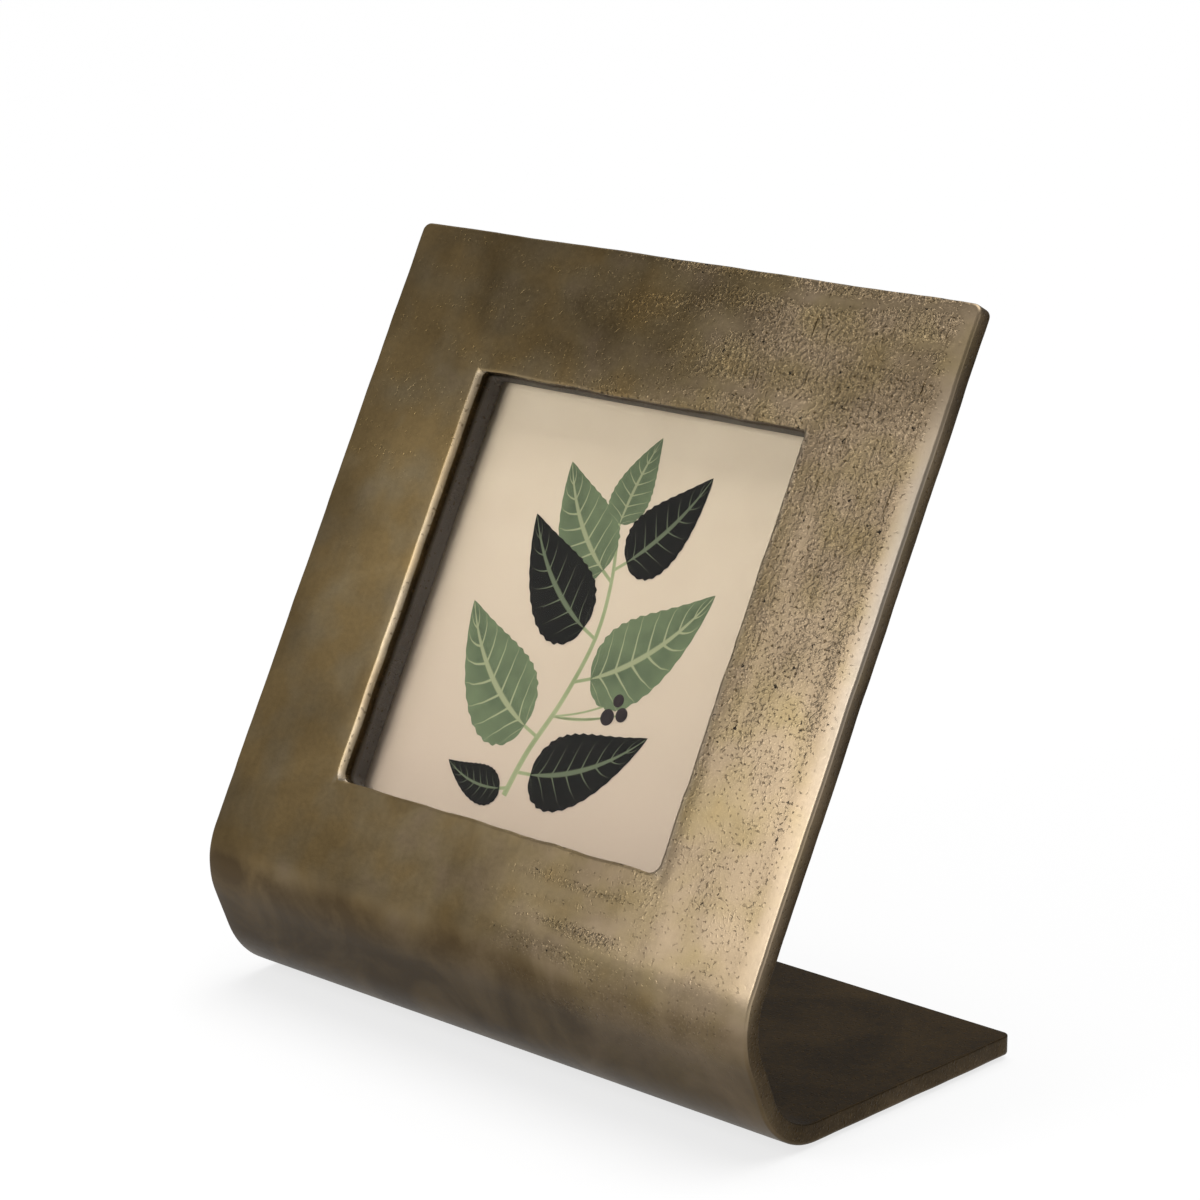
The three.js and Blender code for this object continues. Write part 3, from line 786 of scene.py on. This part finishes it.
def cast_brass():
    """Sand-cast brass, patinated dark, rubbed back by hand and lacquered: a satin metal with soft
    clouds of olive, tan and grey, sandy lumps and black pits where the rubbing didn't reach, and
    bright worn edges. Its lighter right side and worn edges carry painted highlight, and its darker
    top, bends, sides and foot carry painted shade."""
    material, add = new_material("sand_cast_brass_patina")
    at = read_plate(add)
    grain = sand_grain(add, at)
    dips = sand_dips(add, at)
    grime = left_grime(add, at, grain, dips)
    pit = gas_pits(add, at)
    colour = unrubbed_and_shaded_colour(add, at, rubbed_and_lit_colour(add, at))
    colour = add("Mix", {0: grime, 6: colour, 7: linear(DARK_PATINA)}, data_type="RGBA")
    colour = add("Mix", {0: pit, 6: colour, 7: linear("#241D13")}, data_type="RGBA")

    height = add("Math", {0: dips, 1: -0.7, 2: grain}, operation="MULTIPLY_ADD")
    height = add("Math", {0: pit, 1: -2.0, 2: height}, operation="MULTIPLY_ADD")
    lumpy = add("Bump", {"Height": height, "Distance": 0.34 * MM})
    ripple = add("Math", {0: at.mottle, 1: at.strength}, operation="MULTIPLY")
    fine = add("Bump", {"Height": ripple, "Distance": 0.06 * MM, "Normal": lumpy})
    # The window's walls are the least metallic, and the more patina, the less lacquer shows
    metallic = add("MapRange", {0: at.recess, "From Min": 0.8, "To Min": 1.0, "To Max": 0.3})
    lacquer = add("Math", {0: at.recess, 1: -0.4, 2: 0.2}, operation="MULTIPLY_ADD", use_clamp=True)
    roughness = add("Math", {0: at.mottle, 1: 0.16, 2: 0.31}, operation="MULTIPLY_ADD")
    roughness = add("Math", {0: at.recess, 1: 0.25, 2: roughness}, operation="MULTIPLY_ADD")
    shader = add("BsdfPrincipled", {
        "Base Color": colour, "Metallic": metallic, "Roughness": roughness, "Normal": fine,
        "Coat Weight": lacquer, "Coat Roughness": 0.3,
    })
    add("OutputMaterial", {"Surface": shader})
    return material


def picture_glass():
    """Low-reflection picture glass: its coating is an IOR below bare glass's 1.5, which leaves a
    sharp but faint reflection, and the lamps shine through it on the print."""
    material, add = new_material("coated_picture_glass")
    shader = add("BsdfPrincipled", {
        "Base Color": linear("#FCFDFC"), "Roughness": 0.02, "IOR": 1.28, "Transmission Weight": 1.0,
    })
    lamp_ray = add("LightPath").outputs["Is Shadow Ray"]
    clear = add("BsdfTransparent")
    mixed = add("MixShader", {0: lamp_ray, 1: shader, 2: clear})
    add("OutputMaterial", {"Surface": mixed})
    return material


LEAF_MAP = "leaf"
STEM = ((-10, -51), (-7, -38), (-1, -22), (3, -4), (2, 12), (-2, 27))
STEM_HALF_WIDTH = 0.95
STEM_TAPER = 0.45
# Each leaf: how far along the stem, its turn from upright in degrees, length, width and curl
SAGE_LEAVES = (
    (0.26, -62, 50, 27, 20), (0.46, 62, 49, 26, -20), (0.80, -52, 41, 23, 16), (1.00, 6, 27, 15, 8),
)
DARK_LEAVES = (
    (0.12, 78, 44, 23, -20), (0.60, -60, 46, 24, 18), (0.84, 46, 38, 21, -14), (0.05, -96, 24, 12, 22),
)
LEAF_TEETH = 13
# The share of a leaf's length that its stalk takes, and of the one leaf at the stem's tip
STALK_SHARE = 0.12
TIP_STALK_SHARE = 0.04
# Each berry: its place across and up from the window's middle, and its radius
BERRIES = (
    (16, -23.5, 2.3), (20.5, -22, 2.0), (18, -18.5, 1.8),
)
BERRY_FOOT = 0.34
# The layers of ink from the paper forwards: every leaf and berry has one of its own
STALK_LAYER = 1
STEM_LAYER = 2
SAGE_LAYER = 3
DARK_LAYER = SAGE_LAYER + len(SAGE_LEAVES)
BERRY_LAYER = DARK_LAYER + len(DARK_LEAVES)


def stem_place(share):
    """A place along the stem's smooth line, and its heading, in mm from the window's middle."""
    spot = min(share, 0.9999) * (len(STEM) - 1)
    index = int(spot)
    t = spot - index
    pts = [Vector(STEM[max(0, min(len(STEM) - 1, index + k))]) for k in (-1, 0, 1, 2)]
    place = 0.5 * (2 * pts[1] + (pts[2] - pts[0]) * t
                   + (2 * pts[0] - 5 * pts[1] + 4 * pts[2] - pts[3]) * t * t
                   + (3 * pts[1] - 3 * pts[2] + pts[3] - pts[0]) * t ** 3)
    heading = pts[2] - pts[0] if t < 0.5 else pts[3] - pts[1]
    return place, heading.normalized()


def on_print(across, up, layer):
    """A place just in front of the print, from mm across and up from the window's middle."""
    middle = (WINDOW_LOW + WINDOW_HIGH) / 2
    return on_face(across * MM, middle + up * MM, PRINT_DEPTH - layer * INK)


def ink_strip(shape, rows, columns, layer, place):
    """Adds a flat patch of ink: place takes shares along and across to mm on the print."""
    grid = bmesh.ops.create_grid(shape, x_segments=columns, y_segments=rows, size=0.5)
    uv_layer = shape.loops.layers.uv.get(LEAF_MAP) or shape.loops.layers.uv.new(LEAF_MAP)
    shares = {vert: (vert.co.y + 0.5, vert.co.x * 2) for vert in grid["verts"]}
    for face in {f for vert in grid["verts"] for f in vert.link_faces}:
        for loop in face.loops:
            along, aside = shares[loop.vert]
            loop[uv_layer].uv = (along, aside / 2 + 0.5)
    for vert, (along, aside) in shares.items():
        vert.co = on_print(*place(along, aside), layer)


def draw_leaves(leaves, first_layer):
    """Leaves with toothed edges, curling away from the stem as they grow."""
    shape = bmesh.new()
    for layer, (share, turn, length, width, curl) in enumerate(leaves, first_layer):
        foot, _ = stem_place(share)
        stalk = STALK_SHARE if share < 1 else TIP_STALK_SHARE

        def place(along, aside):
            angle = math.radians(turn + curl * (along - 0.4))
            rib = Vector((math.sin(angle), math.cos(angle))) * length * (stalk + (1 - stalk) * along)
            outline = math.sin(math.pi * along ** 0.72) ** 0.85 if 0 < along < 1 else 0
            tooth = abs((along * LEAF_TEETH) % 1 - 0.3) * 0.12 * abs(aside)
            half = width / 2 * outline * (1 - 0.25 * along) * (1.04 - tooth)
            side = Vector((math.cos(angle), -math.sin(angle))) * half * aside
            side -= Vector((math.sin(angle), math.cos(angle))) * half * 0.25 * abs(aside)
            return foot + rib + side

        ink_strip(shape, rows=52, columns=10, layer=layer, place=place)
    return shape


def stalk_line(foot, reach, half_width, bow=0.0):
    """The line of a straight or bowed stalk for ink_strip, from its foot, in mm."""
    side = Vector((reach.y, -reach.x)).normalized()

    def place(along, aside):
        return foot + reach * along + side * (aside * half_width + bow * math.sin(math.pi * along))

    return place


def draw_stems():
    """The stem, which tapers upwards, and the stalks of the leaves and berries."""
    shape = bmesh.new()

    def stem(along, aside):
        place, heading = stem_place(along)
        side = Vector((heading.y, -heading.x))
        return place + side * aside * (STEM_HALF_WIDTH - STEM_TAPER * along)

    ink_strip(shape, rows=60, columns=2, layer=STEM_LAYER, place=stem)
    for share, turn, length, _, curl in SAGE_LEAVES + DARK_LEAVES:
        foot, _ = stem_place(share)
        angle = math.radians(turn - 0.4 * curl)
        reach = Vector((math.sin(angle), math.cos(angle))) * length * 0.15
        ink_strip(shape, rows=6, columns=2, layer=STALK_LAYER, place=stalk_line(foot, reach, 0.5))
    foot, _ = stem_place(BERRY_FOOT)
    for across, up, _ in BERRIES:
        place = stalk_line(foot, Vector((across, up)) - foot, 0.3, bow=0.9)
        ink_strip(shape, rows=8, columns=2, layer=STALK_LAYER, place=place)
    return shape


def draw_berries():
    shape = bmesh.new()
    for layer, (across, up, radius) in enumerate(BERRIES, BERRY_LAYER):
        def place(along, aside):
            angle = 2 * math.pi * along
            out = radius * (aside + 1) / 2
            return across + out * math.cos(angle), up + out * math.sin(angle)

        ink_strip(shape, rows=24, columns=3, layer=layer, place=place)
    bmesh.ops.remove_doubles(shape, verts=shape.verts[:], dist=MERGED)
    return shape


def printed_ink(name, dark, light, vein, vein_share, vein_strength):
    """Lithographic ink on paper: flat and matt, washed lighter and darker in fine strokes, with
    the leaf's ribs left pale."""
    material, add = new_material(name)
    spot = add("UVMap", uv_map=LEAF_MAP)
    parts = add("SeparateXYZ", {0: spot}).outputs
    aside = add("Math", {0: parts["Y"], 1: 2.0, 2: -1.0}, operation="MULTIPLY_ADD")
    aside = add("Math", {0: aside}, operation="ABSOLUTE")
    # Washes 6 mm wide and strokes 0.4 mm wide, and paler towards the leaf's edge
    place = add("TexCoord").outputs["Object"]
    wash = add("TexNoise", {"Vector": place, "Scale": 1 / (6 * MM)})
    stroke = add("TexNoise", {"Vector": place, "Scale": 1 / (0.4 * MM)})
    tone = add("Math", {0: stroke, 1: 0.7, 2: wash}, operation="MULTIPLY_ADD")
    tone = add("Math", {0: aside, 1: 0.35, 2: tone}, operation="MULTIPLY_ADD")
    tone = add("Math", {0: tone, 1: 0.47}, operation="SUBTRACT", use_clamp=True)
    colour = add("Mix", {0: tone, 6: linear(dark), 7: linear(light)}, data_type="RGBA")
    # Side ribs run out and forwards from the middle rib, eight to a leaf, and thin towards the edge
    lift = add("Math", {0: aside, 1: -0.2, 2: parts["X"]}, operation="MULTIPLY_ADD")
    lift = add("Math", {0: lift, 1: 8.0}, operation="MULTIPLY")
    lift = add("Math", {0: lift}, operation="FRACT")
    lift = add("Math", {0: lift, 1: 0.5}, operation="SUBTRACT")
    lift = add("Math", {0: lift}, operation="ABSOLUTE")
    rib = add("Math", {0: aside, 1: -0.075, 2: vein_share}, operation="MULTIPLY_ADD")
    rib = add("Math", {0: rib, 1: lift}, operation="SUBTRACT")
    rib = add("Math", {0: rib, 1: 22.0}, operation="MULTIPLY", use_clamp=True)
    middle = add("MapRange", {0: aside, "From Min": 0.085, "From Max": 0.045})
    rib = add("Math", {0: rib, 1: middle}, operation="MAXIMUM")
    rib = add("Math", {0: rib, 1: vein_strength}, operation="MULTIPLY")
    colour = add("Mix", {0: rib, 6: colour, 7: linear(vein)}, data_type="RGBA")
    shader = add("BsdfPrincipled", {
        "Base Color": colour, "Roughness": 0.9, "Specular IOR Level": 0.08,
    })
    add("OutputMaterial", {"Surface": shader})
    return material


def mottled(name, dark, light, size, roughness, metallic, bump):
    """A material whose colour wanders between two, and whose surface rises with it."""
    material, add = new_material(name)
    place = add("TexCoord").outputs["Object"]
    pattern = add("TexNoise", {"Vector": place, "Scale": 1 / size, "Detail": 4.0, "Roughness": 0.6})
    sharper = add("MapRange", {0: pattern, "From Min": 0.3, "From Max": 0.7})
    colour = add("Mix", {0: sharper, 6: linear(dark), 7: linear(light)}, data_type="RGBA")
    rise = add("Bump", {"Height": pattern, "Distance": bump})
    shader = add("BsdfPrincipled", {
        "Base Color": colour, "Metallic": metallic, "Roughness": roughness, "Normal": rise,
    })
    add("OutputMaterial", {"Surface": shader})
    return material


def flocked_felt(name, dark, light):
    """Pressed wool felt: soft and matt with a faint bloom at grazing angles, its nap brushed lighter
    and darker in patches 12 mm wide, and fibres drawn 0.7 mm wide, as coarse as they need to show."""
    material, add = new_material(name)
    place = add("TexCoord").outputs["Object"]
    nap = add("TexNoise", {
        "Vector": place, "Scale": 1 / (12 * MM), "Detail": 3.0, "Roughness": 0.6, "Distortion": 0.8,
    })
    fibres = add("TexNoise", {
        "Vector": place, "Scale": 1 / (0.7 * MM), "Detail": 4.0, "Roughness": 0.7, "Distortion": 1.2,
    })
    tone = add("MapRange", {0: fibres, "From Min": 0.35, "From Max": 0.68})
    patch = add("MapRange", {0: nap, "From Min": 0.3, "From Max": 0.7, "To Min": 0.45})
    tone = add("Math", {0: tone, 1: patch}, operation="MULTIPLY")
    colour = add("Mix", {0: tone, 6: linear(dark), 7: linear(light)}, data_type="RGBA")
    # Bits of paler lint about 0.4 mm wide
    lint = add("TexVoronoi", {"Vector": place, "Scale": 1 / (3 * MM)})
    lint = add("MapRange", {0: lint, "From Min": 0.11, "From Max": 0.05, "To Max": 0.6})
    colour = add("Mix", {0: lint, 6: colour, 7: linear("#6B655E")}, data_type="RGBA")
    rise = add("Bump", {"Height": fibres, "Distance": 0.35 * MM})
    shader = add("BsdfPrincipled", {
        "Base Color": colour, "Roughness": 0.95, "Normal": rise, "Specular IOR Level": 0.2,
        "Sheen Weight": 0.35, "Sheen Roughness": 0.5, "Sheen Tint": linear(light),
    })
    add("OutputMaterial", {"Surface": shader})
    return material


def aged_paper():
    """Uncoated drawing paper gone tan: matt, with clouds 14 mm wide and faint fibres, and browner
    towards the foot."""
    material, add = new_material("aged_drawing_paper")
    place = add("TexCoord").outputs["Object"]
    clouds = add("TexNoise", {
        "Vector": place, "Scale": 1 / (14 * MM), "Detail": 4.0, "Roughness": 0.6,
    })
    fibres = add("TexNoise", {"Vector": place, "Scale": 1 / (0.5 * MM)})
    tone = add("Math", {0: fibres, 1: 0.3, 2: clouds}, operation="MULTIPLY_ADD")
    colour = add("Mix", {0: tone, 6: linear("#C8B59B"), 7: linear("#D7C6AD")}, data_type="RGBA")
    height = add("SeparateXYZ", {0: place}).outputs["Z"]
    lower_browning = add("MapRange", {0: height, "From Min": 165 * MM, "From Max": 70 * MM})
    colour = add("Mix", {0: lower_browning, 6: colour, 7: linear("#BCA996")}, data_type="RGBA")
    shader = add("BsdfPrincipled", {
        "Base Color": colour, "Roughness": 0.95, "Specular IOR Level": 0.3,
    })
    add("OutputMaterial", {"Surface": shader})
    return material


# The stage: a white floor, a grey world, a high broad lamp and a softbox in front
FLOOR_REACH = 6.0
FLOOR_WHITE = 0.75
WORLD_LEVEL = 0.32
SUN_LEVEL = 0.78
SUN_SPREAD = math.radians(70)
SUN_FROM = Vector((0.05, 0.26, 0.96))
SOFTBOX_PLACE = Vector((-95, -430, 335)) * MM
SOFTBOX_AIM = Vector((60, -20, 100)) * MM
SOFTBOX_SIZE = 200 * MM
SOFTBOX_POWER = 0.75


def white_paper_floor():
    """Matt white paper, which the camera sees near pure white, so the shadow on it stays faint."""
    material, add = new_material("white_paper_floor")
    place = add("TexCoord").outputs["Object"]
    pulp = add("TexNoise", {"Vector": place, "Scale": 1 / (5 * MM), "Detail": 4.0})
    colour = add("Mix", {0: pulp, 6: linear("#F9F9F9"), 7: linear("#FAFAFA")}, data_type="RGBA")
    paper = add("BsdfPrincipled", {"Base Color": colour, "Roughness": 0.9})
    rays = add("LightPath").outputs
    seen = add("Math", {0: rays["Is Camera Ray"], 1: rays["Is Glossy Ray"]}, operation="ADD")
    seen = add("Math", {0: seen, 1: rays["Is Transmission Ray"]}, operation="MAXIMUM")
    seen = add("Math", {0: seen, 1: FLOOR_WHITE}, operation="MULTIPLY")
    white = add("Emission")
    mixed = add("MixShader", {0: seen, 1: paper, 2: white})
    add("OutputMaterial", {"Surface": mixed})
    return material


def dress(node, material):
    """Gives a CAD node its finish."""
    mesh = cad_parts[node].data
    mesh.materials.clear()
    mesh.materials.append(material)


def set_floor():
    """A wide white paper floor that isn't part of the object."""
    sheet = bmesh.new()
    bmesh.ops.create_grid(sheet, x_segments=1, y_segments=1, size=FLOOR_REACH)
    new_shape("studio_floor", sheet, white_paper_floor())


def set_world():
    """A grey studio all round, whose level is the even part of the light."""
    world = bpy.data.worlds.new("grey_studio")
    bpy.context.scene.world = world
    world.use_nodes = True
    background = world.node_tree.nodes["Background"].inputs
    background["Color"].default_value = linear("#FFFFFF")
    background["Strength"].default_value = WORLD_LEVEL


def add_lamp(name, kind, place, aim, energy, **settings):
    data = bpy.data.lights.new(name, kind)
    data.energy = energy
    for key, value in settings.items():
        setattr(data, key, value)
    lamp = new_object(name, data)
    lamp.location = place
    lamp.rotation_euler = (place - aim).to_track_quat("Z", "Y").to_euler()


set_camera()
set_floor()
set_world()
add_lamp("high_broad_light", "SUN", SUN_FROM, Vector(), SUN_LEVEL * math.pi, angle=SUN_SPREAD)
add_lamp("front_softbox", "AREA", SOFTBOX_PLACE, SOFTBOX_AIM, SOFTBOX_POWER, size=SOFTBOX_SIZE)

plate = new_piece("cast_plate", make_cast_plate(), cast_brass(), "root")
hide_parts("cast_bent_plate")
dress("glass_pane", picture_glass())
dress("picture_print", aged_paper())
# Inks: dark and light wash, rib colour, half the ribs' width as a share of their spacing, and how
# strongly the ribs show
sage_ink = printed_ink("sage_green_ink", "#4B5641", "#6B7657", "#9A9C78", 0.10, 0.85)
dark_ink = printed_ink("black_green_ink", "#0F0D0B", "#191714", "#6B7359", 0.075, 0.8)
stem_ink = printed_ink("pale_green_ink", "#78835C", "#9DA27C", "#9DA27C", 0.0, 0.0)
berry_ink = printed_ink("plum_black_ink", "#1E1A1B", "#3A3030", "#3A3030", 0.0, 0.0)
for name, shape, ink in (
    ("printed_stems", draw_stems(), stem_ink),
    ("printed_sage_leaves", draw_leaves(SAGE_LEAVES, SAGE_LAYER), sage_ink),
    ("printed_dark_leaves", draw_leaves(DARK_LEAVES, DARK_LAYER), dark_ink),
    ("printed_berries", draw_berries(), berry_ink),
):
    bmesh.ops.recalc_face_normals(shape, faces=shape.faces[:])
    new_piece(name, shape, ink, "root")
# Pressed wood fibre: matt and brown, in flecks 1.2 mm wide
board = mottled("fibreboard", "#7A5E3E", "#8E7150", 1.2 * MM, 0.85, 0.0, 0.05 * MM)
# Brass sheet, stamped and left raw: satin yellow, with faint waves 3 mm wide from the press
button_brass = mottled("stamped_brass", "#8E7440", "#B39559", 3 * MM, 0.36, 1.0, 0.01 * MM)
# Zinc plate on turned steel: a pale grey satin metal, with a spangle 1.5 mm wide
screw_zinc = mottled("zinc_plated_steel", "#8F8D88", "#B5B3AD", 1.5 * MM, 0.34, 1.0, 0.01 * MM)
dress("backing_board", board)
dress("backing_felt", flocked_felt("charcoal_felt", "#1B1918", "#4A4643"))
for side in ("top", "bottom", "left", "right"):
    dress(f"turn_button_{side}", button_brass)
    dress(f"button_washer_{side}", screw_zinc)
    dress(f"button_screw_{side}", screw_zinc)
pad_felt = flocked_felt("brown_felt", "#2E251D", "#54463A")
for corner in ("front_left", "front_right", "rear_left", "rear_right"):
    dress(f"foot_pad_{corner}", pad_felt)

bpy.context.scene.view_settings.view_transform = "Standard"
